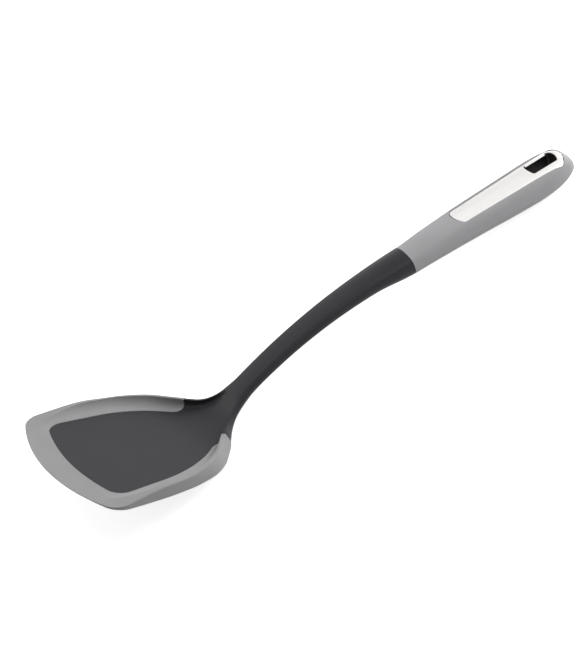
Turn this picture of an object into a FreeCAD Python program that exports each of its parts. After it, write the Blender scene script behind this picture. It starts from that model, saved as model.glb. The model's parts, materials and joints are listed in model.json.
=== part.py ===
import FreeCAD, Part
import math
import os
from FreeCAD import Vector

# Deep turner: a nylon blade with a silicone edge, an arched shaft and a soft grip with a steel inlay.
#
# Every piece is built in the tool's own frame, in millimetres. X runs from the blade's front edge to the
# handle, Y to the tool's left, and Z is up from the upper face of the blade's floor. At the end the whole
# tool is tilted into the pose it takes when laid down, on its heel and the end of its handle.

# ---------------------------------------------------------------- driving dimensions

# Blade, seen from above
FRONT_HALF_WIDTH = 55.0
FRONT_RADIUS = 118.0
CORNER_ROUND = 11.0
SIDE_TAPER = math.radians(6.1)
SHOULDER_START = 58.0
SHOULDER_RADIUS = 42.0
SHOULDER_TURN = math.radians(52.0)
NECK_START = 101.0
NECK_RADIUS = 20.5

# Blade, seen from the side
SOLE_DEPTH = 1.2
WEDGE = 0.0425
SOLE_TRIM = 0.25
EDGE_THICKNESS = 0.6
BEVEL_START = 6.0
BEVEL_END = 34.0

# Silicone edge
FRONT_BAND = 13.5
SIDE_BAND = 12.0
INNER_FRONT_RADIUS = 130.0
INNER_SHOULDER_START = 48.0
INNER_SHOULDER_RADIUS = 65.0
INNER_CORNER_ROUND = 9.0
RIM_END_ROUND = 6.0
RIM_END_X = 94.8
RIM_STEP = 0.8
EDGE_RELIEF = 0.3
LIP_BEVEL = 0.27
TONGUE_INSET = 5.0
TONGUE_FRONT_INSET = 6.5
ANCHOR_RADIUS = 1.5

# Spine: flat blade, upward neck arc, straight rise, long drooping arc, straight handle
BEND_START = 80.0
BEND_RADIUS = 37.4
RISE = math.radians(37.0)
ARCH_START = 120.0
ARCH_RADIUS = 291.0
HANDLE_SLOPE = math.radians(19.3)

# Handle, along its own axis from the end of the arch
SEAM = 18.8
HANDLE_END = 130.6
GRIP_WALL = 2.4
GRIP_NOSE = 3.0
END_AXIS_DROP = -4.0

# Steel inlay and hanging slot, along the handle
INLAY_START = 52.8
INLAY_END = 124.8
INLAY_START_HALF = 7.9
INLAY_END_HALF = 9.95
INLAY_SHEET = 0.9
INLAY_GAP = 0.2
INLAY_END_GAP = 0.45
INLAY_SINK = 0.1
INLAY_CROWN = 0.05
PAD_THICKNESS = 0.3
SLOT_START = 103.2
SLOT_END = 121.4
SLOT_HALF_WIDTH = 5.6
SLOT_BOW = 1.2
SLOT_CORNER = 1.5
LIP_REACH = 0.6
LIP_DROP = 0.85
LIP_SHEET = 0.6

# Tang and its pins
TANG_HALF_WIDTH = 6.0
TANG_HALF_THICKNESS = 3.0
TANG_END = 86.0
TANG_CLEARANCE = 0.15
PIN_RADIUS = 1.5
PIN_HALF_LENGTH = 4.2
PIN_PLACES = (36.0, 70.0)


# ---------------------------------------------------------------- small helpers

def blend(x, points):
    """Smooth, monotone cubic through (x, value) pairs, level outside them."""
    if x <= points[0][0]:
        return points[0][1]
    if x >= points[-1][0]:
        return points[-1][1]
    slopes = []
    for (xa, ya), (xb, yb) in zip(points, points[1:]):
        slopes.append((yb - ya) / (xb - xa))
    tangents = [0.0]
    for before, after in zip(slopes, slopes[1:]):
        same_way = before * after > 0
        tangents.append(2 * before * after / (before + after) if same_way else 0.0)
    tangents.append(0.0)
    for i, (xb, yb) in enumerate(points[1:]):
        if x <= xb:
            xa, ya = points[i]
            h = xb - xa
            t = (x - xa) / h
            return ((2 * t**3 - 3 * t**2 + 1) * ya + (t**3 - 2 * t**2 + t) * h * tangents[i]
                    + (3 * t**2 - 2 * t**3) * yb + (t**3 - t**2) * h * tangents[i + 1])


def arc(a, middle, b):
    return Part.Arc(a, middle, b).toShape()


def line(a, b):
    return Part.LineSegment(a, b).toShape()


def prism(edges, low, high):
    """A closed outline of edges in the plane Z = 0, raised into a block from low to high."""
    block = Part.Face(Part.Wire(edges)).extrude(Vector(0, 0, high - low))
    block.translate(Vector(0, 0, low))
    return block


def mirrored(points):
    """Points of an outline's upper half, run back along its lower half."""
    return [Vector(p.x, -p.y, p.z) for p in reversed(points)]


def upright_edges(block, corners):
    """The upright edges of a block that pass through the given corners."""
    chosen = []
    for edge in block.Edges:
        a, b = edge.Vertexes[0].Point, edge.Vertexes[-1].Point
        if abs(a.x - b.x) + abs(a.y - b.y) > 1e-6:
            continue
        if any(abs(a.x - c.x) + abs(abs(a.y) - abs(c.y)) < 1e-3 for c in corners):
            chosen.append(edge)
    return chosen


# ---------------------------------------------------------------- spine and sections

def spine(x):
    """Height and slope of the spine at x."""
    rise_start = BEND_START + BEND_RADIUS * math.sin(RISE)
    rise_height = BEND_RADIUS * (1 - math.cos(RISE))
    arch_height = rise_height + (ARCH_START - rise_start) * math.tan(RISE)
    arch_end = ARCH_START + ARCH_RADIUS * (math.sin(RISE) - math.sin(HANDLE_SLOPE))
    if x <= BEND_START:
        return 0.0, 0.0
    if x <= rise_start:
        slope = math.asin((x - BEND_START) / BEND_RADIUS)
        return BEND_RADIUS * (1 - math.cos(slope)), slope
    if x <= ARCH_START:
        return rise_height + (x - rise_start) * math.tan(RISE), RISE
    if x <= arch_end:
        slope = math.asin(math.sin(RISE) - (x - ARCH_START) / ARCH_RADIUS)
        return arch_height + ARCH_RADIUS * (math.cos(slope) - math.cos(RISE)), slope
    end_height = arch_height + ARCH_RADIUS * (math.cos(HANDLE_SLOPE) - math.cos(RISE))
    return end_height + (x - arch_end) * math.tan(HANDLE_SLOPE), HANDLE_SLOPE


HANDLE_X = ARCH_START + ARCH_RADIUS * (math.sin(RISE) - math.sin(HANDLE_SLOPE))
HANDLE_FRAME = FreeCAD.Placement(Vector(HANDLE_X, 0, spine(HANDLE_X)[0]),
                                 FreeCAD.Rotation(Vector(0, 1, 0), -math.degrees(HANDLE_SLOPE)))


def along_handle(distance):
    """X of the spine at a distance along the handle's axis."""
    return HANDLE_X + distance * math.cos(HANDLE_SLOPE)


def on_handle(shape):
    """Moves a shape drawn in the handle's frame (X along it, Z out of its top) into the tool's frame."""
    placed = shape.copy()
    placed.Placement = HANDLE_FRAME.multiply(shape.Placement)
    return placed


def section_frame(x):
    """Places a (y, n) point of the section across the spine at x."""
    height, slope = spine(x)
    centre = Vector(x, 0, height)
    outward = Vector(-math.sin(slope), 0, math.cos(slope))
    return lambda y, n: centre + Vector(0, y, 0) + outward * n


def bend(y, n, radius, start, end):
    """Cubic curve of four (y, n) poles along an arc about (y, n), from one angle to another."""
    reach = 4.0 / 3.0 * math.tan((end - start) / 4) * radius
    poles = []
    for angle, along in ((start, 0.0), (start, reach), (end, -reach), (end, 0.0)):
        poles.append((y + radius * math.cos(angle) - along * math.sin(angle),
                      n + radius * math.sin(angle) + along * math.cos(angle)))
    return poles


def straight(start, end):
    """Cubic curve of four (y, n) poles along a straight line."""
    return [tuple(a + (b - a) * share / 3 for a, b in zip(start, end)) for share in range(4)]


def closed_section(x, right):
    """A closed section from the curves of its right half, which run from its foot to its crest."""
    place = section_frame(x)
    left = [[(-y, n) for y, n in reversed(poles)] for poles in reversed(right)]
    return [[place(y, n) for y, n in poles] for poles in right + left]


def oval(x, half, top, bottom, crowns, rounds, lean=0.0):
    """A closed section across the spine at x: crowned top and bottom, rounded corners, straight sides.

    half, top and bottom are measured from the spine. crowns are the curvatures (one over the radius) of
    the top and bottom faces, rounds are the radii of the upper and lower corners, and lean is the angle
    by which the sides lean inwards as they rise.
    """
    def crowned(level, curvature, across):
        """Height of the corner's centre and angle of its meeting with the crowned face."""
        crown = 1.0 / max(curvature, 1e-5)
        rise = math.sqrt(crown**2 - 2 * crown * across[1] + across[1]**2 - across[0]**2)
        return level - crown + rise, math.atan2(rise, across[0]), level - crown, crown

    low_y = half - rounds[1]
    depth, low_angle, low_centre, low_crown = crowned(-bottom, crowns[1], (low_y, rounds[1]))
    high_y = half - rounds[0]
    for _ in range(6):
        height, high_angle, high_centre, high_crown = crowned(top, crowns[0], (high_y, rounds[0]))
        high_y = low_y + (rounds[1] - rounds[0] - (height + depth) * math.sin(lean)) / math.cos(lean)
    pi = math.pi
    foot = bend(low_y, -depth, rounds[1], -low_angle, lean)
    corner = bend(high_y, height, rounds[0], lean, high_angle)
    return closed_section(x, [bend(0.0, -low_centre, low_crown, -pi / 2, -low_angle),
                              foot,
                              straight(foot[3], corner[0]),
                              corner,
                              bend(0.0, high_centre, high_crown, high_angle, pi / 2)])


def skin(sections):
    """A solid with a smooth skin through sections, each given as curves of four poles."""
    lengths = [0.0]
    for before, after in zip(sections, sections[1:]):
        lengths.append(lengths[-1] + (after[2][0] - before[2][0]).Length)
    faces = []
    for strip in range(len(sections[0])):
        columns = []
        for pole in range(4):
            column = Part.BSplineCurve()
            column.interpolate([section[strip][pole] for section in sections], Parameters=lengths)
            columns.append(column)
        along = columns[0]
        surface = Part.BSplineSurface()
        surface.buildFromPolesMultsKnots([column.getPoles() for column in columns],
                                         [4, 4], along.getMultiplicities(), [0.0, 1.0], along.getKnots(),
                                         False, False, 3, along.Degree)
        faces.append(surface.toShape())
    for section in (sections[0], sections[-1]):
        edges = []
        for poles in section:
            bezier = Part.BezierCurve()
            bezier.setPoles(poles)
            edges.append(bezier.toShape())
        faces.append(Part.Face(Part.Wire(edges)))
    shell = Part.Shell(faces)
    shell.sewShape()
    solid = Part.Solid(shell)
    if solid.Volume < 0:
        solid.reverse()
    return solid


# ---------------------------------------------------------------- blade outline

CORNER_X = FRONT_RADIUS - math.sqrt(FRONT_RADIUS**2 - FRONT_HALF_WIDTH**2)
SHOULDER_TOP = FRONT_HALF_WIDTH - (SHOULDER_START - CORNER_X) * math.tan(SIDE_TAPER)
SHOULDER_CENTRE = Vector(SHOULDER_START - SHOULDER_RADIUS * math.sin(SIDE_TAPER),
                         SHOULDER_TOP - SHOULDER_RADIUS * math.cos(SIDE_TAPER), 0)
OUTWARD = Vector(math.sin(SHOULDER_TURN), math.cos(SHOULDER_TURN), 0)
SHOULDER_FOOT = SHOULDER_CENTRE + OUTWARD * SHOULDER_RADIUS
NECK_DROP = (NECK_START - SHOULDER_FOOT.x) * math.tan(SHOULDER_TURN)
NECK_POINT = Vector(NECK_START, SHOULDER_FOOT.y - NECK_DROP, 0)
NECK_CENTRE = NECK_POINT + OUTWARD * NECK_RADIUS


def blade_half_width(x, inset=0.0):
    """Half width of the blade's outline, moved inwards by inset, from the front to the neck."""
    shoulder = SHOULDER_RADIUS - inset
    neck = NECK_RADIUS + inset
    if x <= SHOULDER_CENTRE.x + shoulder * math.sin(SIDE_TAPER):
        return FRONT_HALF_WIDTH - (x - CORNER_X) * math.tan(SIDE_TAPER) - inset / math.cos(SIDE_TAPER)
    if x <= SHOULDER_CENTRE.x + shoulder * math.sin(SHOULDER_TURN):
        return SHOULDER_CENTRE.y + math.sqrt(shoulder**2 - (x - SHOULDER_CENTRE.x)**2)
    if x <= NECK_CENTRE.x - neck * math.sin(SHOULDER_TURN):
        return NECK_POINT.y - (x - NECK_POINT.x) * math.tan(SHOULDER_TURN) - inset / math.cos(SHOULDER_TURN)
    return NECK_CENTRE.y - math.sqrt(max(neck**2 - (x - NECK_CENTRE.x)**2, 0.0))


def sole(x):
    """Height of the flat sole's plane: the blade is a wedge, thicker towards the neck."""
    return -(SOLE_DEPTH + WEDGE * x)


# ---------------------------------------------------------------- head and shaft

# Sizes along the spine from the blade to the seam: (x, value)
SHAFT_WIDTH = [(115.0, 7.8), (122.0, 7.6), (155.0, 8.1), (185.0, 8.8), (along_handle(SEAM), 10.0)]
FLARE = [(50.0, 0.0), (59.0, -0.9), (66.0, -1.1), (73.0, -0.4), (79.0, 0.4), (85.0, 1.0), (89.0, 1.4),
         (93.0, 1.3), (95.5, 1.0), (98.0, 0.0)]
TOP = [(9.0, -0.02), (17.0, 0.6), (25.0, 1.8), (33.0, 3.0), (44.0, 4.15), (57.0, 3.95),
       (65.0, 4.15), (72.0, 4.65), (80.0, 5.2), (87.0, 5.45), (94.5, 4.6), (101.0, 3.2),
       (108.0, 2.4), (116.0, 2.9), (155.0, 3.7), (185.0, 4.9), (along_handle(SEAM), 6.4)]
BOTTOM = [(80.0, sole(80.0)), (88.0, -5.0), (96.5, -4.8), (103.0, -4.3), (110.0, -4.0), (135.0, -4.2),
          (170.0, -5.0), (198.0, -6.1), (along_handle(SEAM), -8.3)]
LEAN = [(14.0, 0.0), (46.0, 0.0), (60.0, 3.0), (68.0, 13.0), (76.0, 30.0), (82.0, 36.0), (88.0, 37.0),
        (93.0, 32.0), (98.0, 8.0), (104.0, 0.0)]
RIM = [(20.0, 1.8), (30.0, 2.0), (45.0, 2.0), (60.0, 2.6), (68.0, 3.6), (76.0, 4.3), (82.0, 3.8),
       (87.0, 3.2), (92.0, 2.7), (98.0, 2.3), (104.0, 2.0)]
FOOT = [(10.0, 12.0), (22.0, 10.0), (45.0, 6.0), (60.0, 5.0), (80.0, 4.5), (90.0, 3.7), (97.0, 2.7),
        (105.0, 2.0)]
TOP_CROWN = [(90.0, 0.0), (110.0, 0.02), (120.0, 0.033), (155.0, 0.038), (185.0, 0.05),
             (along_handle(SEAM), 0.0625)]
BOTTOM_CROWN = [(90.0, 0.0), (110.0, 0.033), (120.0, 0.07), (185.0, 0.076), (along_handle(SEAM), 0.077)]
TOP_ROUND = [(10.0, 0.35), (45.0, 0.8), (95.0, 0.9), (104.0, 1.3), (120.0, 2.4), (155.0, 2.9),
             (185.0, 3.6), (along_handle(SEAM), 4.5)]
BOTTOM_ROUND = [(10.0, 0.5), (45.0, 1.2), (62.0, 1.8), (75.0, 3.2), (85.0, 3.6), (95.0, 3.2), (104.0, 2.7),
                (120.0, 2.8), (155.0, 3.4), (185.0, 4.8), (along_handle(SEAM), 7.0)]
HEAD_STATIONS = [-8.0, 5.0, 14.0, 24.0, 34.0, 46.0, 57.0, 63.0, 69.0, 75.0, 80.0, 84.0, 87.0, 90.0,
                 93.0, 96.0, 99.0, 101.5, 104.0, 106.5, 109.0, 112.0, 116.0, 120.0, 127.0, 136.0,
                 147.0, 160.0, 173.0, 186.0, 198.0, 208.0, along_handle(SEAM)]


def head_section(x, step=0.0):
    """Outer section of the head and shaft; step draws the sides and wall tops in past the rim ends."""
    half = blade_half_width(x) + blend(x, FLARE) if x <= SHAFT_WIDTH[0][0] else blend(x, SHAFT_WIDTH)
    bottom = sole(x) - SOLE_TRIM if x <= BEND_START else blend(x, BOTTOM) - SOLE_TRIM * (x < 90.0)
    crowns = (blend(x, TOP_CROWN), blend(x, BOTTOM_CROWN))
    drawn_in = step * (blend(x, [(70.0, 0.0), (82.0, 1.0)]) - blend(x, [(98.0, 0.0), (112.0, 1.0)]))
    rounds = (blend(x, TOP_ROUND), blend(x, BOTTOM_ROUND))
    lean = math.radians(blend(x, LEAN))
    return oval(x, half - drawn_in, blend(x, TOP) - 0.3 * drawn_in, bottom, crowns, rounds, lean)


# The hollow of the blade: its floor above the spine, ending where it breaks out of the shaft's top
HOLLOW_FLOOR = [(80.0, 0.0), (92.0, -0.5), (98.0, -1.0), (103.0, -0.9), (107.0, 0.2), (110.5, 2.1),
                (116.0, 5.6)]
HOLLOW_STATIONS = [-12.0, 0.0, 14.0, 24.0, 34.0, 46.0, 57.0, 63.0, 69.0, 75.0, 80.0, 84.0, 87.0, 90.0,
                   93.0, 96.0, 99.0, 101.5, 104.0, 106.5, 109.0, 112.0, 115.0]
HOLLOW_HEIGHT = 24.0
MOUTH_ROUND = [(90.0, 0.7), (100.0, 1.5)]


def hollow_section(x, relief=0.0):
    """Section of the hollow: flat floor, rounded foot, upright wall and a mouth that rounds outwards."""
    half = blade_half_width(x, blend(x, RIM) + relief)
    floor = blend(x, HOLLOW_FLOOR) + relief
    deep = max(blend(x, TOP) - floor, 0.3)
    mouth = min(blend(x, MOUTH_ROUND), 0.4 * deep)
    foot = min(blend(x, FOOT), 0.8 * half)
    level = max(floor + foot + 0.3, blend(x, TOP) - mouth + 0.04)
    foot_curve = bend(half - foot, floor + foot, foot, -math.pi / 2, 0.0)
    mouth_curve = bend(half + mouth, level, mouth, math.pi, math.pi / 2)
    brim = (half + mouth, HOLLOW_HEIGHT)
    return closed_section(x, [straight((0.0, floor), foot_curve[0]),
                              foot_curve,
                              straight(foot_curve[3], mouth_curve[0]),
                              mouth_curve,
                              straight(mouth_curve[3], brim),
                              straight(brim, (0.0, HOLLOW_HEIGHT))])


def hollow(relief):
    """The space above the blade's floor and between its walls."""
    return skin([hollow_section(x, relief) for x in HOLLOW_STATIONS])


def front_block():
    """Everything inside the curved front edge, with rounded corners and open to the rear."""
    clear = 0.02
    lead = 30.0
    corner = Vector(CORNER_X, FRONT_HALF_WIDTH + clear, 0)
    side = Vector(lead, blade_half_width(lead) + clear, 0)
    wide = Vector(lead, 80, 0)
    rear = Vector(400, 80, 0)
    half = [corner, side, wide, rear]
    points = half + mirrored(half)
    edges = [line(a, b) for a, b in zip(points, points[1:])]
    edges.append(arc(points[-1], Vector(0, 0, 0), points[0]))
    block = prism(edges, -60, 200)
    return block.makeFillet(CORNER_ROUND, upright_edges(block, [corner]))


def underside(x):
    """Height of the blade's underside: a thin front edge, a bevel, then the flat sole."""
    if x >= BEVEL_END:
        return sole(x)
    share = max(0.0, (x - BEVEL_START) / (BEVEL_END - BEVEL_START))
    return -EDGE_THICKNESS + share * (EDGE_THICKNESS + sole(BEVEL_END))


def slab(points):
    """A profile in the plane Y = 0 drawn out to both sides, wider than the blade."""
    block = Part.Face(Part.makePolygon(points + points[:1])).extrude(Vector(0, 160, 0))
    block.translate(Vector(0, -80, 0))
    return block


def below_sole():
    """Everything under the blade's underside."""
    rear = BEND_START + 12
    ground = [Vector(x, 0, underside(x)) for x in (-20, BEVEL_START, BEVEL_END, rear)]
    return slab(ground + [Vector(rear, 0, -40), Vector(-20, 0, -40)])


def head_blank(step=0.0, relief=0.0):
    """Blade, neck and shaft as one body with the blade's hollow in it, before it is shared out."""
    hull = skin([head_section(x, step) for x in HEAD_STATIONS])
    return hull.common(front_block()).cut(below_sole()).cut(hollow(relief))


def window():
    """The part of the plan that is nylon: the blade inside the silicone band, and all past its ends."""
    inner_centre = Vector(FRONT_BAND + INNER_FRONT_RADIUS, 0, 0)
    start_y = blade_half_width(INNER_SHOULDER_START, SIDE_BAND)
    side_line_x = 24.0
    for _ in range(20):
        reach = blade_half_width(side_line_x, SIDE_BAND)
        side_line_x = inner_centre.x - math.sqrt(INNER_FRONT_RADIUS**2 - reach**2)
    front = Vector(side_line_x, blade_half_width(side_line_x, SIDE_BAND), 0)
    start = Vector(INNER_SHOULDER_START, start_y, 0)
    centre = start - Vector(math.sin(SIDE_TAPER), math.cos(SIDE_TAPER), 0) * INNER_SHOULDER_RADIUS
    end_out = Vector(RIM_END_X, blade_half_width(RIM_END_X), 0)
    inward = Vector(-math.sin(SHOULDER_TURN), -math.cos(SHOULDER_TURN), 0)
    offset = end_out - centre
    along = offset.dot(inward)
    reach = -along - math.sqrt(along**2 - offset.dot(offset) + INNER_SHOULDER_RADIUS**2)
    end_in = end_out + inward * reach
    end_angle = math.asin((end_in.x - centre.x) / INNER_SHOULDER_RADIUS)
    mid_angle = (SIDE_TAPER + end_angle) / 2
    middle = centre + Vector(math.sin(mid_angle), math.cos(mid_angle), 0) * INNER_SHOULDER_RADIUS
    outside = end_out - inward * 12
    rear = Vector(400, outside.y, 0)
    upper = [line(front, start), arc(start, middle, end_in), line(end_in, outside), line(outside, rear)]
    lower = [edge.mirror(Vector(0, 0, 0), Vector(0, 1, 0)) for edge in upper]
    closing = [line(rear, Vector(rear.x, -rear.y, 0)),
               arc(Vector(front.x, -front.y, 0), Vector(FRONT_BAND, 0, 0), front)]
    edges = Part.__sortEdges__(upper + lower + closing)
    block = prism(edges, -60, 200)
    block = block.makeFillet(INNER_CORNER_ROUND, upright_edges(block, [front]))
    return block.makeFillet(RIM_END_ROUND, upright_edges(block, [end_in]))


def anchor_places():
    """Centres of the anchor holes, in the middle of the tongue: along the front and along the sides."""
    places = []
    for degrees in range(-20, 21, 5):
        angle = math.radians(degrees)
        radius = FRONT_RADIUS - (TONGUE_FRONT_INSET + FRONT_BAND) / 2
        places.append(Vector(FRONT_RADIUS - radius * math.cos(angle), radius * math.sin(angle), 0))
    for x in (36.0, 48.0, 60.0, 71.0):
        for side in (1, -1):
            places.append(Vector(x, side * blade_half_width(x, (TONGUE_INSET + SIDE_BAND) / 2), 0))
    return places


def tongue():
    """The thin nylon ledge that the silicone is moulded round, with holes the silicone runs through."""
    rear = 84.0
    radius = FRONT_RADIUS - TONGUE_FRONT_INSET
    corner_x = 17.0
    for _ in range(20):
        corner_x = FRONT_RADIUS - math.sqrt(radius**2 - blade_half_width(corner_x, TONGUE_INSET)**2)
    start_x = SHOULDER_CENTRE.x + (SHOULDER_RADIUS - TONGUE_INSET) * math.sin(SIDE_TAPER)
    outline = [Vector(x, blade_half_width(x, TONGUE_INSET), 0)
               for x in (corner_x, start_x, (start_x + rear) / 2, rear)]
    upper = [line(outline[0], outline[1]), arc(outline[1], outline[2], outline[3])]
    lower = [edge.mirror(Vector(0, 0, 0), Vector(0, 1, 0)) for edge in upper]
    front, far_front = outline[0], mirrored(outline[:1])[0]
    closing = [line(outline[3], mirrored(outline[3:])[0]),
               arc(far_front, Vector(TONGUE_FRONT_INSET, 0, 0), front)]
    plan = prism(Part.__sortEdges__(upper + lower + closing), -20, 20)
    profile = []
    for share, places in ((0.25, (BEVEL_START, BEVEL_END, 95.0)), (0.75, (95.0, BEVEL_END, BEVEL_START))):
        profile += [Vector(x, 0, share * underside(x)) for x in places]
    ledge = plan.common(slab(profile))
    holes = [Part.makeCylinder(ANCHOR_RADIUS, 20, p - Vector(0, 0, 10)) for p in anchor_places()]
    return ledge.cut(Part.makeCompound(holes))


def tang():
    """The flat tang that runs on from the shaft inside the handle, with its two pin holes."""
    start = SEAM - 4.0
    bar = Part.makeBox(TANG_END - start, 2 * TANG_HALF_WIDTH, 2 * TANG_HALF_THICKNESS,
                       Vector(start, -TANG_HALF_WIDTH, -TANG_HALF_THICKNESS))
    bar = bar.makeFillet(1.0, [edge for edge in bar.Edges if edge.BoundBox.XLength > 10])
    for place in PIN_PLACES:
        bar = bar.cut(Part.makeCylinder(PIN_RADIUS, 20, Vector(place, 0, -10)))
    return on_handle(bar)


def turner_head():
    body = head_blank(RIM_STEP).common(window())
    return body.fuse([tongue(), tang()]).removeSplitter()


def bevelled_lips(band, cutter):
    """Bevels the upper edges that the cutter left on the band, where it stands proud of the nylon."""
    cut_faces = Part.makeCompound(cutter.Faces)
    lips = []
    for edge in band.Edges:
        points = [edge.valueAt(edge.FirstParameter + share * (edge.LastParameter - edge.FirstParameter))
                  for share in (0.15, 0.5, 0.85)]
        is_upright = abs(points[0].x - points[2].x) + abs(points[0].y - points[2].y) < 1e-4
        if is_upright or points[1].z < EDGE_RELIEF - 0.03:
            continue
        if all(cut_faces.distToShape(Part.Vertex(p))[0] < 1e-3 for p in points):
            lips.append(edge)
    return band.makeChamfer(LIP_BEVEL, lips)


def silicone_edge():
    cutter = window()
    band = head_blank(0.0, EDGE_RELIEF).cut(cutter)
    return bevelled_lips(band, cutter).cut(tongue())


# ---------------------------------------------------------------- handle

# Sizes along the handle's axis from the seam: (distance, value)
HANDLE_WIDTH = [(SEAM, 10.0), (32.0, 10.75), (60.0, 11.6), (90.0, 12.45), (104.0, 12.65)]
HANDLE_TOP = [(SEAM, 6.3), (32.0, 7.1), (60.0, 7.75), (90.0, 8.3), (108.0, 8.6)]
HANDLE_BOTTOM = [(SEAM, -8.3), (32.0, -8.45), (60.0, -9.0), (90.0, -10.3), (104.0, -10.7)]
HANDLE_TOP_CROWN = [(SEAM, 0.0625), (45.0, 0.045), (60.0, 0.035)]
HANDLE_BOTTOM_CROWN = [(SEAM, 0.077), (60.0, 0.067), (90.0, 0.062)]
HANDLE_TOP_ROUND = [(SEAM, 4.5), (60.0, 4.7), (90.0, 5.0)]
HANDLE_BOTTOM_ROUND = [(SEAM, 7.0), (60.0, 8.2), (90.0, 9.0)]
HANDLE_STATIONS = [SEAM, 25.0, 32.0, 40.0, 50.0, 60.0, 72.0, 84.0, 94.0, 102.0, 108.0, 113.0, 117.0, 120.0]
HANDLE_STATIONS += [HANDLE_END - gap for gap in (8.0, 6.0, 4.2, 2.8, 1.7, 0.8, 0.25)]


def taper_to_end(distance, start, power, root):
    """Falls from 1 at start to 0 at the handle's end, like a superellipse."""
    share = max(0.0, (distance - start) / (HANDLE_END - start))
    return max(0.0, 1 - share**power)**(1 / root)


TOP_AT_SLOT = blend(SLOT_START, HANDLE_TOP)


def handle_section(distance, inset, sink=0.0, crown=None):
    """Outer section of the handle, or the same section moved inwards by inset.

    The steel inlay's surface is this section with its top sunk a little and more steeply crowned.
    """
    width = taper_to_end(distance, 100.0, 3.0, 2.1)
    rise = taper_to_end(distance, 119.0, 3.0, 1.7)
    sweep = taper_to_end(distance, 99.0, 2.15, 1.55)
    half = blend(distance, HANDLE_WIDTH) * width - inset * width
    top = END_AXIS_DROP + (blend(distance, HANDLE_TOP) - inset - sink - END_AXIS_DROP) * rise
    bottom = END_AXIS_DROP + (blend(distance, HANDLE_BOTTOM) + inset - END_AXIS_DROP) * sweep
    top_crown = crown or blend(distance, HANDLE_TOP_CROWN)
    crowns = (top_crown / width, blend(distance, HANDLE_BOTTOM_CROWN) / width)
    room = min(half, (top - bottom) / 2)
    rounds = (min(blend(distance, HANDLE_TOP_ROUND) - inset, 0.6 * room),
              min(blend(distance, HANDLE_BOTTOM_ROUND) - inset, 0.8 * room))
    return oval(along_handle(distance - inset * (1 - width)), half, top, bottom, crowns, rounds)


def handle_body(inset=0.0, start=SEAM):
    stations = [start] + [d for d in HANDLE_STATIONS if d > start + 1]
    return skin([handle_section(d, inset) for d in stations])


def inlay_body(inset=0.0):
    """The handle under the inlay's own surface, moved inwards by inset."""
    stations = [SEAM] + HANDLE_STATIONS[1:]
    return skin([handle_section(d, inset, INLAY_SINK, INLAY_CROWN) for d in stations])


def inlay_prism(grow=0.0, end_grow=None):
    """Plan of the inlay raised into a block: tapered sides, bowed ends, rounded corners."""
    near_bow, far_bow = 3.3, 4.6
    ends = grow if end_grow is None else end_grow
    slope = (INLAY_END_HALF - INLAY_START_HALF) / (INLAY_END - INLAY_START)
    near = Vector(INLAY_START + near_bow - ends, INLAY_START_HALF + grow, 0)
    far = Vector(INLAY_END - far_bow + ends, INLAY_END_HALF + grow - slope * far_bow, 0)
    edges = [line(near, far),
             arc(far, Vector(INLAY_END + ends, 0, 0), Vector(far.x, -far.y, 0)),
             line(Vector(far.x, -far.y, 0), Vector(near.x, -near.y, 0)),
             arc(Vector(near.x, -near.y, 0), Vector(INLAY_START - ends, 0, 0), near)]
    block = prism(edges, 0.0, 30.0)
    block = block.makeFillet(2.0 + grow, upright_edges(block, [near]))
    block = block.makeFillet(5.0 + grow, upright_edges(block, [far]))
    return on_handle(block)


def slot_prism(grow=0.0):
    """The hanging slot's outline, straight sides and bowed ends, raised into a block."""
    start, end, half = SLOT_START - grow, SLOT_END + grow, SLOT_HALF_WIDTH + grow
    near = Vector(start + SLOT_BOW, half, 0)
    far = Vector(end - SLOT_BOW, half, 0)
    low_near, low_far = mirrored([far, near])
    edges = [line(near, far), arc(far, Vector(end, 0, 0), low_far),
             line(low_far, low_near), arc(low_near, Vector(start, 0, 0), near)]
    block = prism(edges, -30, 30)
    return on_handle(block.makeFillet(SLOT_CORNER + grow, upright_edges(block, [near, far])))


def slot_lip(side):
    """The inlay's edge along one side of the slot, turned down into it at a slant."""
    radius = 1 / INLAY_CROWN
    edge_z = TOP_AT_SLOT - INLAY_SINK - radius + math.sqrt(radius**2 - SLOT_HALF_WIDTH**2)
    steep = LIP_REACH / LIP_DROP
    slant = math.hypot(LIP_REACH, LIP_DROP)
    foot = (SLOT_HALF_WIDTH - LIP_REACH, edge_z - LIP_DROP)
    heel = (foot[0] + LIP_SHEET * LIP_DROP / slant, foot[1] - LIP_SHEET * LIP_REACH / slant)
    profile = [foot, (SLOT_HALF_WIDTH + 0.3 * steep, edge_z + 0.3), (SLOT_HALF_WIDTH + 0.6, edge_z + 0.3),
               (SLOT_HALF_WIDTH + 0.6, edge_z - 0.4), heel]
    start = SLOT_START + SLOT_BOW + 0.6 * SLOT_CORNER
    length = SLOT_END - SLOT_BOW - SLOT_CORNER - start
    points = [Vector(start, side * y, z) for y, z in profile]
    bar = Part.Face(Part.makePolygon(points + points[:1])).extrude(Vector(length, 0, 0))
    return on_handle(bar).common(inlay_body())


def steel_inlay():
    sheet = inlay_body().common(inlay_prism()).cut(inlay_body(INLAY_SHEET)).cut(slot_prism())
    return sheet.fuse([slot_lip(1), slot_lip(-1)]).removeSplitter()


def inlay_adhesive():
    pad = inlay_body(INLAY_SHEET).common(inlay_prism(-1.0)).cut(inlay_body(INLAY_SHEET + PAD_THICKNESS))
    return pad.cut(slot_prism(1.5))


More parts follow.
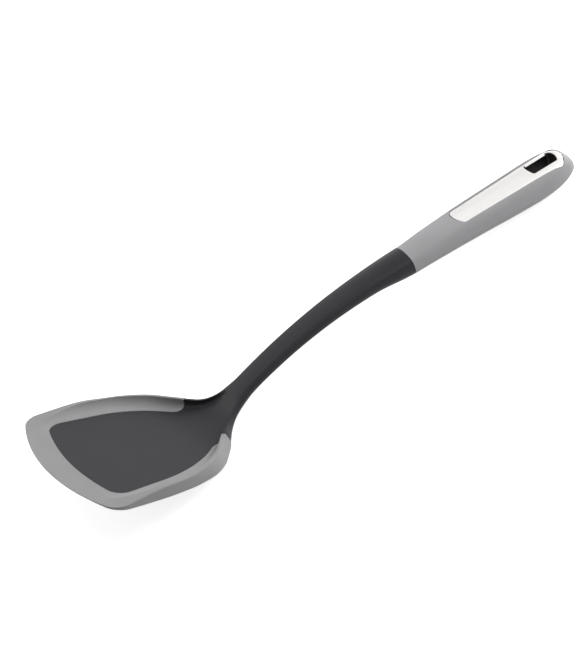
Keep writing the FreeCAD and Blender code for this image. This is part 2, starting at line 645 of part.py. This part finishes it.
def core_blank():
    """The rigid core: the handle inside the grip's wall, raised under the inlay to make its seat."""
    core = handle_body(GRIP_WALL, SEAM + GRIP_NOSE)
    seat = inlay_body(INLAY_SHEET + PAD_THICKNESS).common(inlay_prism(-0.5))
    core = core.fuse(seat).cut(slot_prism())
    channel = Part.makeBox(TANG_END - SEAM + TANG_CLEARANCE, 2 * (TANG_HALF_WIDTH + TANG_CLEARANCE),
                           2 * (TANG_HALF_THICKNESS + TANG_CLEARANCE),
                           Vector(SEAM, -TANG_HALF_WIDTH - TANG_CLEARANCE,
                                  -TANG_HALF_THICKNESS - TANG_CLEARANCE))
    return core.cut(on_handle(channel)).cut(tang_pins())


def half_space(sign):
    """A block on one side of the plane that parts the two halves of the core."""
    low = 0.0 if sign > 0 else -40.0
    return on_handle(Part.makeBox(200, 80, 40, Vector(0, -40, low)))


def core_upper():
    return core_blank().common(half_space(1))


def core_lower():
    return core_blank().common(half_space(-1))


def tang_pins():
    pins = []
    for place in PIN_PLACES:
        foot = Vector(place, 0, -PIN_HALF_LENGTH)
        pins.append(on_handle(Part.makeCylinder(PIN_RADIUS, 2 * PIN_HALF_LENGTH, foot)))
    return Part.makeCompound(pins)


def soft_grip():
    skin = handle_body().cut(handle_body(GRIP_WALL, SEAM + GRIP_NOSE))
    skin = skin.cut(inlay_prism(INLAY_GAP, INLAY_END_GAP)).cut(slot_prism())
    doorway = Part.makeBox(20, 2 * (TANG_HALF_WIDTH + TANG_CLEARANCE),
                           2 * (TANG_HALF_THICKNESS + TANG_CLEARANCE),
                           Vector(SEAM - 5, -TANG_HALF_WIDTH - TANG_CLEARANCE,
                                  -TANG_HALF_THICKNESS - TANG_CLEARANCE))
    return skin.cut(on_handle(doorway))


# ---------------------------------------------------------------- resting pose

def resting_tilt():
    """Angle that lowers the handle until the heel of the blade and the handle's end stand level."""
    heel = [(x, underside(x)) for x in range(60, 80)]
    for x in range(80, 110):
        height, slope = spine(x)
        low = blend(x, BOTTOM)
        heel.append((x - low * math.sin(slope), height + low * math.cos(slope)))
    grip = []
    for distance in range(40, 131):
        poles = handle_section(distance, 0.0)[0]
        grip.append((poles[0].x, poles[0].z))
    flat, steep = 0.0, math.radians(45.0)
    for _ in range(40):
        tilt = (flat + steep) / 2
        lowest = [min(z * math.cos(tilt) - x * math.sin(tilt) for x, z in side) for side in (heel, grip)]
        if lowest[1] > lowest[0]:
            flat = tilt
        else:
            steep = tilt
    return math.degrees(flat)


# ---------------------------------------------------------------- write the pieces

PIECES = {
    "turner_head": turner_head,
    "silicone_edge": silicone_edge,
    "soft_grip": soft_grip,
    "core_upper": core_upper,
    "core_lower": core_lower,
    "steel_inlay": steel_inlay,
    "inlay_adhesive": inlay_adhesive,
    "tang_pins": tang_pins,
}

shapes = {name: make() for name, make in PIECES.items()}
tilt = resting_tilt()
for shape in shapes.values():
    shape.rotate(Vector(0, 0, 0), Vector(0, 1, 0), tilt)
box = Part.makeCompound(list(shapes.values())).optimalBoundingBox()
ground = Vector(-(box.XMin + box.XMax) / 2, 0, -box.ZMin)
print("tilt", round(tilt, 3), "moved by", [round(v, 3) for v in ground])

os.makedirs("parts", exist_ok=True)
for name, shape in shapes.items():
    shape.translate(ground)
    print(name, "solids", len(shape.Solids), "valid", shape.isValid(), "volume", round(shape.Volume, 1))
    shape.exportStep("parts/" + name + ".step")
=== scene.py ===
# %% [markdown]
# # A grill spatula with a soft rim
# This turner for the grill has a shallow black head, moulded in nylon in one go with
# its shaft.  A pale silicone band is moulded round the front and the sides of the
# head, so that it wipes a pan without scratching it.  The shaft ends in a handle with
# a soft grey skin, a polished steel plate let into its upper face and a slot to hang
# it by.  The solid pieces come ready made from the CAD model.  This file gives them
# their finishes, lights them softly and looks at them through a long lens.

# %% Load the CAD model as a fixed frame
import json
import math

import bpy
from mathutils import Matrix, Vector

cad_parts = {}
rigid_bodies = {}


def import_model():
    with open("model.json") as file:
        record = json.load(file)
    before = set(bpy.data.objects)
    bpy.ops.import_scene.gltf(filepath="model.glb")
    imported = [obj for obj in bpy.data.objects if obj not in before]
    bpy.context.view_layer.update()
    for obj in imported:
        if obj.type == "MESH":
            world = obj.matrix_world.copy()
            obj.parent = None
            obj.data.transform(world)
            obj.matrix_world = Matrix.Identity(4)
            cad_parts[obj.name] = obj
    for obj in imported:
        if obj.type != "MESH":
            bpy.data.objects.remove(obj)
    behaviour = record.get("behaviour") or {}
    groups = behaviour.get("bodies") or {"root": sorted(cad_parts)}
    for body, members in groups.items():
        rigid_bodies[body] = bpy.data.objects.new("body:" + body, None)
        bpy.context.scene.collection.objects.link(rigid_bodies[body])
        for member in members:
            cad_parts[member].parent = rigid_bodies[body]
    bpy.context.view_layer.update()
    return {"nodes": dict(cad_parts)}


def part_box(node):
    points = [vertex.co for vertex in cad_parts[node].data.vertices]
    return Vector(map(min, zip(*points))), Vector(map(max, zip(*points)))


for leftover in list(bpy.data.objects):
    bpy.data.objects.remove(leftover)
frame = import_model()
nodes = frame["nodes"]
print("pieces from CAD:", sorted(nodes))

# %% [markdown]
# ## Where the handle points
# Several patterns follow the handle, which slopes down a little towards its end.
# Its direction is measured on the steel plate, the one flat piece in it: the highest
# points near the plate's two ends give the line that its brushed grain has to follow.

# %% Measure the handle's slope
plate_low, plate_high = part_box("steel_inlay")
end_zone = 0.1 * (plate_high.x - plate_low.x)
plate_points = [v.co for v in nodes["steel_inlay"].data.vertices]
front_top = max((p for p in plate_points if p.x < plate_low.x + end_zone), key=lambda p: p.z)
rear_top = max((p for p in plate_points if p.x > plate_high.x - end_zone), key=lambda p: p.z)
handle_slope = math.atan2(front_top.z - rear_top.z, rear_top.x - front_top.x)
print("handle slope (degrees):", round(math.degrees(handle_slope), 2))

# %% [markdown]
# ## Helpers for node materials
# A material is a small network of nodes.  Wiring it takes the same two steps each
# time: make a node, then fill its inputs with numbers or with another node's output.
# A few helpers do that, so that each finish below reads like a recipe.  Patterns read
# Object coordinates: every piece's object sits at the origin, so these are metres in
# the CAD's own frame, and a grain of 0.3 mm is the same size on each piece.  A Mix
# node has a pair of inputs for each kind of value, so its colour inputs and output
# are picked by their place in the list.

# %% Helpers
def add(tree, kind, settings=None, inputs=None):
    """Adds a node.  settings are its menus and switches, inputs its sockets."""
    node = tree.nodes.new(kind)
    for name, value in (settings or {}).items():
        setattr(node, name, value)
    for name, value in (inputs or {}).items():
        socket = node.inputs[name]
        if isinstance(value, bpy.types.NodeSocket):
            tree.links.new(value, socket)
        else:
            socket.default_value = value
    return node


def new_finish(name, plain):
    """Starts a material and sets what is the same all over on its shader."""
    finish = bpy.data.materials.new(name)
    finish.use_nodes = True
    shader = finish.node_tree.nodes["Principled BSDF"]
    for socket, value in plain.items():
        shader.inputs[socket].default_value = value
    return finish, finish.node_tree, shader


def grey(level, blue=0.0, red=0.0):
    """A screen grey from 0 to 255 as a linear colour, with a little more or less blue and red."""
    channels = (level + red, level, level + blue)
    return (*(((c / 255 + 0.055) / 1.055) ** 2.4 for c in channels), 1.0)


def seen_directly(tree):
    """1 for rays that show a surface itself: from the camera, mirrored or through glass."""
    rays = add(tree, "ShaderNodeLightPath").outputs
    shown = add(tree, "ShaderNodeMath", {"operation": "MAXIMUM"}, {
        0: rays["Is Camera Ray"], 1: rays["Is Glossy Ray"]})
    return add(tree, "ShaderNodeMath", {"operation": "MAXIMUM"}, {
        0: shown.outputs[0], 1: rays["Is Transmission Ray"]}).outputs[0]


NOISE_LOW, NOISE_HIGH = 0.3, 0.7
MIX_DARK, MIX_LIGHT, MIX_COLOUR = 6, 7, 2


def spread(tree, noise, low=0.0, high=1.0):
    """Stretches a noise, which mostly stays between NOISE_LOW and NOISE_HIGH, to low and high."""
    return add(tree, "ShaderNodeMapRange", inputs={
        "Value": noise, "From Min": NOISE_LOW, "From Max": NOISE_HIGH,
        "To Min": low, "To Max": high}).outputs["Result"]


def lay_on(tree, shader, colour_mask, dark, light, height, depth):
    """Colour runs from dark to light with a mask, and the normal follows a height in metres."""
    colour = add(tree, "ShaderNodeMix", {"data_type": "RGBA"}, {
        "Factor": colour_mask, MIX_DARK: dark, MIX_LIGHT: light})
    bump = add(tree, "ShaderNodeBump", inputs={
        "Height": height, "Distance": depth, "Strength": 1.0})
    tree.links.new(colour.outputs[MIX_COLOUR], shader.inputs["Base Color"])
    tree.links.new(bump.outputs["Normal"], shader.inputs["Normal"])


def wear(finish, *pieces):
    """Puts a finish on every material slot of these CAD pieces."""
    for piece in pieces:
        for slot in nodes[piece].material_slots:
            slot.material = finish
    print(finish.name, "->", ", ".join(pieces))


# %% [markdown]
# ## A grain that the plastics share
# Nylon, silicone and the handle's soft skin all leave a steel mould whose walls were
# etched, and they copy its fine pits.  They differ only in how coarse and how deep
# the pits are, so one node group makes the pattern and each material sets its own
# sizes.  It puts out a height for a Bump node, and a slow mottle, which stands for
# the faint cloudiness that handling and uneven cooling leave.

# %% Node group: moulded grain
def moulded_grain():
    group = bpy.data.node_groups.new("moulded grain", "ShaderNodeTree")
    for name, start in (("Grain per metre", 2500.0), ("Cloud per metre", 60.0)):
        new_input = group.interface.new_socket(name, in_out="INPUT", socket_type="NodeSocketFloat")
        new_input.default_value = start
    for name in ("Height", "Mottle"):
        group.interface.new_socket(name, in_out="OUTPUT", socket_type="NodeSocketFloat")
    source = add(group, "NodeGroupInput")
    place = add(group, "ShaderNodeTexCoord").outputs["Object"]
    pits = add(group, "ShaderNodeTexNoise", inputs={
        "Vector": place, "Scale": source.outputs[0], "Detail": 2.0, "Roughness": 0.6})
    clouds = add(group, "ShaderNodeTexNoise", inputs={
        "Vector": place, "Scale": source.outputs[1], "Detail": 4.0, "Roughness": 0.55})
    add(group, "NodeGroupOutput", inputs={
        "Height": pits.outputs["Fac"], "Mottle": clouds.outputs["Fac"]})
    return group


GRAIN = moulded_grain()
print("group:", GRAIN.name)

# %% [markdown]
# ## One recipe for the moulded plastics
# Each is a Principled shader whose colour and roughness drift a little with the
# mottle, and whose normal carries the grain.  The drift is small: new plastic looks
# even from afar, and only up close does it stop looking like a computer's flat grey.

# %% The moulded plastics' recipe
def moulded(name, dark, light, gloss, grain, cloud, depth, plain):
    """dark and light bound the colour and gloss the roughness; depth is the pits', in metres."""
    finish, tree, shader = new_finish(name, plain)
    pattern = add(tree, "ShaderNodeGroup", {"node_tree": GRAIN}, {
        "Grain per metre": grain, "Cloud per metre": cloud})
    mottle = pattern.outputs["Mottle"]
    lay_on(tree, shader, spread(tree, mottle), dark, light, pattern.outputs["Height"], depth)
    tree.links.new(spread(tree, mottle, *gloss), shader.inputs["Roughness"])
    return finish


# %% [markdown]
# ## Nylon, silicone and the soft skin
# Glass-filled nylon is a charcoal black with a matt, slightly silky surface.  The
# silicone and the handle's thermoplastic rubber were matched to the same mid grey,
# but silicone is smoother and shines a little more, while the skin is dry to touch.
# The hidden core of the handle is a plain black plastic, seen only in the hang slot.

# %% Plastics on the pieces
nylon = moulded(
    "charcoal nylon", grey(54, blue=3), grey(58, blue=3), gloss=(0.36, 0.44), grain=3200.0,
    cloud=55.0, depth=0.00002, plain={"IOR": 1.53, "Specular IOR Level": 0.13})
silicone = moulded(
    "grey silicone", grey(163, blue=1), grey(168, blue=1), gloss=(0.4, 0.5), grain=1800.0,
    cloud=45.0, depth=0.00001, plain={"IOR": 1.41, "Specular IOR Level": 0.3})
soft_skin = moulded(
    "soft grey skin", grey(183, blue=2), grey(188, blue=2), gloss=(0.5, 0.6), grain=2600.0,
    cloud=70.0, depth=0.00003, plain={"IOR": 1.45, "Specular IOR Level": 0.25})
core_black = moulded(
    "black core plastic", grey(16), grey(22), gloss=(0.35, 0.5), grain=2000.0,
    cloud=80.0, depth=0.00002, plain={"IOR": 1.5})
wear(nylon, "turner_head")
wear(silicone, "silicone_edge")
wear(soft_skin, "soft_grip")
wear(core_black, "core_upper", "core_lower")

# %% [markdown]
# ## Brushed and polished steel
# The plate is rolled sheet, brushed along its length and then buffed.  What stays is
# a very fine grain: streaks a few hundredths of a millimetre wide and several
# millimetres long.  A noise texture gives it when its space is squeezed along the
# handle, which a Mapping node does after it has turned the space by the slope that
# was measured above.

# %% Node group: drawn streaks
def drawn_streaks():
    group = bpy.data.node_groups.new("drawn streaks", "ShaderNodeTree")
    for name, start in (("Across per metre", 9000.0), ("Along per metre", 120.0)):
        new_input = group.interface.new_socket(name, in_out="INPUT", socket_type="NodeSocketFloat")
        new_input.default_value = start
    group.interface.new_socket("Streak", in_out="OUTPUT", socket_type="NodeSocketFloat")
    source = add(group, "NodeGroupInput")
    place = add(group, "ShaderNodeTexCoord").outputs["Object"]
    turned = add(group, "ShaderNodeMapping", {"vector_type": "TEXTURE"}, {
        "Vector": place, "Rotation": (0.0, handle_slope, 0.0)})
    squeeze = add(group, "ShaderNodeCombineXYZ", inputs={
        "X": source.outputs[1], "Y": source.outputs[0], "Z": source.outputs[0]})
    stretched = add(group, "ShaderNodeVectorMath", {"operation": "MULTIPLY"}, {
        0: turned.outputs["Vector"], 1: squeeze.outputs["Vector"]})
    lines = add(group, "ShaderNodeTexNoise", inputs={
        "Vector": stretched.outputs["Vector"], "Scale": 1.0, "Detail": 3.0, "Roughness": 0.65})
    add(group, "NodeGroupOutput", inputs={"Streak": lines.outputs["Fac"]})
    return group


STREAKS = drawn_streaks()
print("group:", STREAKS.name)

# %% Steel on the plate and the pins
def steel(name, dark, light, gloss, across, along, depth):
    finish, tree, shader = new_finish(name, {"Metallic": 1.0})
    pattern = add(tree, "ShaderNodeGroup", {"node_tree": STREAKS}, {
        "Across per metre": across, "Along per metre": along})
    streak = pattern.outputs["Streak"]
    lay_on(tree, shader, streak, dark, light, streak, depth)
    tree.links.new(spread(tree, streak, *gloss), shader.inputs["Roughness"])
    return finish


plate_steel = steel(
    "brushed plate steel", grey(224, blue=-2, red=2), grey(236, blue=-2, red=2),
    gloss=(0.22, 0.32), across=9000.0, along=120.0, depth=0.000004)
pin_steel = steel(
    "turned pin steel", grey(190), grey(215),
    gloss=(0.3, 0.45), across=4000.0, along=4000.0, depth=0.000004)
wear(plate_steel, "steel_inlay")
wear(pin_steel, "tang_pins")

# %% [markdown]
# ## The pad behind the plate
# Between the plate and the core lies a strip of black foam tape with open pores.  A
# Voronoi texture looks like cut foam: the distance to the cell centres is deep in
# the pores and high on the walls between them.  The colour follows the same
# distance as painted shade: darker down in the pores, lighter on the walls.

# %% Foam tape
PORES_PER_METRE = 2200.0
PORE_DEPTH = 0.0001


def foam_tape():
    finish, tree, shader = new_finish("black foam tape", {"Roughness": 0.9})
    place = add(tree, "ShaderNodeTexCoord").outputs["Object"]
    pore_depth_and_shade = add(tree, "ShaderNodeTexVoronoi", inputs={
        "Vector": place, "Scale": PORES_PER_METRE}).outputs["Distance"]
    # The colour runs with the same distance as the bump: painted shade, darker in the pores.
    lay_on(tree, shader, pore_depth_and_shade, grey(22), grey(44), pore_depth_and_shade, PORE_DEPTH)
    return finish


wear(foam_tape(), "inlay_adhesive")

# %% [markdown]
# ## Floor
# The turner lies on a plain white sweep.  The floor is an ordinary matt surface for
# the light that falls on it, so that it keeps a faint soft shadow under the piece.
# Where it is seen or mirrored it also glows a little, which lifts the rest to white.

# %% Floor
FLOOR_SIDE = 8.0
FLOOR_WHITE = 0.9
FLOOR_LIFT = 0.8


def pale_floor():
    sheet = bpy.data.meshes.new("floor")
    half = FLOOR_SIDE / 2
    corners = [(-half, -half, 0.0), (half, -half, 0.0), (half, half, 0.0), (-half, half, 0.0)]
    sheet.from_pydata(corners, [], [(0, 1, 2, 3)])
    floor = bpy.data.objects.new("floor", sheet)
    bpy.context.scene.collection.objects.link(floor)
    finish, tree, shader = new_finish("pale floor", {
        "Base Color": (FLOOR_WHITE, FLOOR_WHITE, FLOOR_WHITE, 1.0), "Roughness": 0.9,
        "Specular IOR Level": 0.0, "Emission Color": (1.0, 1.0, 1.0, 1.0)})
    lift = add(tree, "ShaderNodeMath", {"operation": "MULTIPLY"}, {
        0: seen_directly(tree), 1: FLOOR_LIFT})
    tree.links.new(lift.outputs[0], shader.inputs["Emission Strength"])
    sheet.materials.append(finish)


pale_floor()
print("floor side (m):", FLOOR_SIDE)

# %% [markdown]
# ## Soft studio light
# The room is white where it is seen or mirrored, which gives the steel its pale face,
# but it only sends out a little light of its own.  Five square softboxes give the
# light a direction.  The two strong ones stand off the handle's end: a high one for
# the upper faces and a low one for the long sides.  The others lift the shadows.

# %% World and lamps
ROOM_LEVEL = 0.12
LAMP_DISTANCE = 1.6
LAMP_SIDE = 1.0
world = bpy.data.worlds.new("white room")
bpy.context.scene.world = world
world.use_nodes = True
sky = world.node_tree.nodes["Background"]
level = add(world.node_tree, "ShaderNodeMapRange", inputs={
    "Value": seen_directly(world.node_tree), "To Min": ROOM_LEVEL, "To Max": 1.0})
world.node_tree.links.new(level.outputs["Result"], sky.inputs["Strength"])
sky.inputs["Color"].default_value = (1.0, 1.0, 1.0, 1.0)


def softbox(name, azimuth, elevation, watts):
    """A square lamp that faces the turner; azimuth 0 is its -Y side and 90 the handle's end."""
    lamp = bpy.data.lights.new(name, "AREA")
    lamp.shape, lamp.size, lamp.energy = "SQUARE", LAMP_SIDE, watts
    holder = bpy.data.objects.new(name, lamp)
    bpy.context.scene.collection.objects.link(holder)
    a, e = math.radians(azimuth), math.radians(elevation)
    way = Vector((math.sin(a) * math.cos(e), -math.cos(a) * math.cos(e), math.sin(e)))
    holder.location = way * LAMP_DISTANCE
    holder.rotation_euler = way.to_track_quat("Z", "Y").to_euler()


softbox("key softbox", azimuth=70.0, elevation=30.0, watts=9.0)
softbox("low side light", azimuth=110.0, elevation=10.0, watts=13.0)
softbox("front fill", azimuth=35.0, elevation=60.0, watts=5.0)
softbox("back light", azimuth=180.0, elevation=60.0, watts=3.0)
softbox("far fill", azimuth=215.0, elevation=30.0, watts=5.0)

# %% [markdown]
# ## Camera
# The view is from the left of the handle and from above, through a long lens, with
# the camera rolled so that the handle climbs to the upper right.

# %% Camera
LOOK_AT = Vector((-0.026, -0.0325, 0.0503))
AZIMUTH, ELEVATION, ROLL = -15.9, 36.6, 25.5
DISTANCE = 1.56
LENS, SENSOR_WIDTH = 166.0, 36.0
a, e, r = (math.radians(v) for v in (AZIMUTH, ELEVATION, ROLL))
back = Vector((math.sin(a) * math.cos(e), -math.cos(a) * math.cos(e), math.sin(e)))
level_right = Vector((0, 0, 1)).cross(back).normalized()
level_up = back.cross(level_right)
up = level_up * math.cos(r) + level_right * math.sin(r)
right = level_right * math.cos(r) - level_up * math.sin(r)
lens = bpy.data.cameras.new("long lens")
lens.lens, lens.sensor_width = LENS, SENSOR_WIDTH
camera = bpy.data.objects.new("camera", lens)
bpy.context.scene.collection.objects.link(camera)
camera.matrix_world = Matrix.Translation(LOOK_AT + back * DISTANCE) @ Matrix(
    (right, up, back)).transposed().to_4x4()
bpy.context.scene.camera = camera
bpy.context.scene.view_settings.view_transform = "Standard"
print("camera at (m):", [round(v, 4) for v in camera.location])
